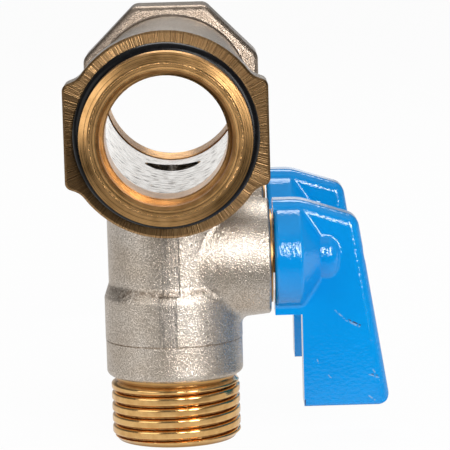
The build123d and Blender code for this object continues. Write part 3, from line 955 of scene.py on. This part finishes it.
def white_ground(settings):
    """Pale floor: mostly plain white where it is seen, dim where gloss mirrors it, more so to the front and
    under the handles, and otherwise matt, so that shadows stay."""
    made = new_finish("white_ground", Base_Color=(0.86, 0.86, 0.86, 1.0), Roughness=0.9)
    tree = made.node_tree
    path = add(made, "LightPath").outputs
    parts = add(made, "SeparateXYZ", {"Vector": add(made, "NewGeometry").outputs["Position"]}).outputs
    reach = maths(made, "SUBTRACT", parts["Y"], span(made, parts["X"], 0.012, 0.022, 0.0, 0.03))
    mirrored = span(made, reach, -0.075, 0.0, 0.03, settings.table)
    shine = maths(made, "MAXIMUM", path["Is Camera Ray"], mirrored)
    glow = add(made, "Emission", {"Strength": shine}).outputs["Emission"]
    seen = maths(made, "MULTIPLY", path["Is Camera Ray"], settings.floor_white)
    share = maths(made, "MAXIMUM", seen, path["Is Glossy Ray"])
    matt = tree.nodes["Principled BSDF"].outputs["BSDF"]
    mixed = add(made, "MixShader", {"Fac": share, 1: matt, 2: glow}).outputs["Shader"]
    tree.links.new(mixed, tree.nodes["Material Output"].inputs["Surface"])
    return made


def sheet_mesh(name, corners, finish):
    """Flat four-cornered sheet of the stage."""
    mesh = bpy.data.meshes.new(name)
    mesh.from_pydata(corners, [], [(0, 1, 2, 3)])
    mesh.materials.append(finish)
    sheet = bpy.data.objects.new(name, mesh)
    bpy.context.scene.collection.objects.link(sheet)


def studio_world(settings):
    """Even fill light, white where it is seen, and for gloss a dim room, paler overhead and low behind."""
    world = bpy.data.worlds.new("studio")
    world.use_nodes = True
    parts = add(world, "SeparateXYZ", {"Vector": add(world, "TexCoord").outputs["Generated"]}).outputs
    behind = span(world, parts["Y"], 0.25, 0.75, 0.0, 1.0)
    low = span(world, parts["Z"], 0.17, 0.27, 1.0, 0.0)
    mirrored = span(world, maths(world, "MULTIPLY", behind, low), 0.0, 1.0, settings.room, settings.back)
    mirrored = maths(world, "MAXIMUM", mirrored, span(world, parts["Z"], 0.60, 0.85, 0.0, settings.overhead))
    path = add(world, "LightPath").outputs
    gloss = maths(world, "MAXIMUM", path["Is Glossy Ray"], path["Is Transmission Ray"])
    keys = {"Value": gloss, "To Min": settings.fill, "To Max": mirrored}
    lit = add(world, "MapRange", keys).outputs["Result"]
    lit = maths(world, "MAXIMUM", lit, path["Is Camera Ray"])
    world.node_tree.links.new(lit, world.node_tree.nodes["Background"].inputs["Strength"])
    world.node_tree.nodes["Background"].inputs["Color"].default_value = (1.0, 1.0, 1.0, 1.0)
    bpy.context.scene.world = world


def bearing_place(bearing, height, distance):
    """Place seen from the object's middle at a bearing from straight ahead, a height and a distance."""
    turn, rise = radians(bearing), radians(height)
    away = (sin(turn) * cos(rise), -cos(turn) * cos(rise), sin(rise))
    return [m + distance * a for m, a in zip(MIDDLE, away)]


def aim(at, target):
    """Matrix of a lamp at a place, facing a target."""
    place_matrix = Matrix.Translation(at)
    gaze = (Matrix.Translation(target).translation - place_matrix.translation).to_track_quat("-Z", "Y")
    return place_matrix @ gaze.to_matrix().to_4x4()


def camera_matrix(settings):
    """Camera from its place and its pitch down, yaw to the right and roll."""
    pitch, yaw, roll = settings.camera_turn
    ahead = np.array([sin(yaw) * cos(pitch), cos(yaw) * cos(pitch), -sin(pitch)])
    side = np.array([cos(yaw), -sin(yaw), 0.0])
    top = np.cross(side, ahead)
    right = cos(roll) * side - sin(roll) * top
    up = sin(roll) * side + cos(roll) * top
    turned = np.eye(4)
    turned[:3, :3] = np.stack([right, up, -ahead], axis=1)
    turned[:3, 3] = settings.camera_at
    return Matrix(turned.tolist())


class MANIFOLD_OT_stage(bpy.types.Operator):
    """White floor, soft lamps and the camera at the photograph's viewing angle"""

    bl_idname = "manifold.stage"
    bl_label = "Stage"

    def execute(self, context):
        scene = context.scene
        settings = scene.manifold_stage
        low = CAD_BOX[0][2]
        wide, near, far = 4.0, -3.0, 4.0
        corners = [(-wide, near, low), (wide, near, low), (wide, far, low), (-wide, far, low)]
        sheet_mesh("floor", corners, white_ground(settings))
        studio_world(settings)
        for name, (bearing, height, distance, size, radiance) in LAMPS.items():
            lamp = bpy.data.lights.new(name, "AREA")
            lamp.shape = "RECTANGLE"
            lamp.size, lamp.size_y = size
            lamp.energy = radiance * pi * size[0] * size[1]
            holder = bpy.data.objects.new(name, lamp)
            holder.matrix_world = aim(bearing_place(bearing, height, distance), MIDDLE)
            scene.collection.objects.link(holder)
        lens = bpy.data.cameras.new("camera")
        lens.lens = settings.focal
        lens.sensor_width = 36.0
        lens.shift_x, lens.shift_y = settings.shift
        camera = bpy.data.objects.new("camera", lens)
        camera.matrix_world = camera_matrix(settings)
        scene.collection.objects.link(camera)
        scene.camera = camera
        scene.view_settings.view_transform = "Standard"
        return {"FINISHED"}


OPERATORS = (
    MANIFOLD_OT_forged_body,
    MANIFOLD_OT_header_threads,
    MANIFOLD_OT_outlet_nipples,
    MANIFOLD_OT_handles,
    MANIFOLD_OT_seals,
    MANIFOLD_OT_valve_metal,
    MANIFOLD_OT_stage,
)


class MANIFOLD_PT_pieces(bpy.types.Panel):
    """Lists the manifold's operators in the sidebar"""

    bl_idname = "MANIFOLD_PT_pieces"
    bl_label = "Ball valve manifold"
    bl_space_type = "VIEW_3D"
    bl_region_type = "UI"
    bl_category = "Manifold"

    def draw(self, context):
        for operator in OPERATORS:
            self.layout.operator(operator.bl_idname)


SETTINGS = {
    "manifold_threads": ThreadSizes,
    "manifold_finish": FinishColours,
    "manifold_stage": StageSettings,
}


def register():
    for group in SETTINGS.values():
        bpy.utils.register_class(group)
    for name, group in SETTINGS.items():
        setattr(bpy.types.Scene, name, PointerProperty(type=group))
    for operator in OPERATORS:
        bpy.utils.register_class(operator)
    bpy.utils.register_class(MANIFOLD_PT_pieces)


def unregister():
    bpy.utils.unregister_class(MANIFOLD_PT_pieces)
    for operator in reversed(OPERATORS):
        bpy.utils.unregister_class(operator)
    for name in SETTINGS:
        delattr(bpy.types.Scene, name)
    for group in SETTINGS.values():
        bpy.utils.unregister_class(group)


def main():
    register()
    bpy.ops.manifold.forged_body()
    bpy.ops.manifold.header_threads()
    bpy.ops.manifold.outlet_nipples()
    bpy.ops.manifold.handles()
    bpy.ops.manifold.seals()
    bpy.ops.manifold.valve_metal()
    bpy.ops.manifold.stage()


if __name__ == "__main__":
    main()
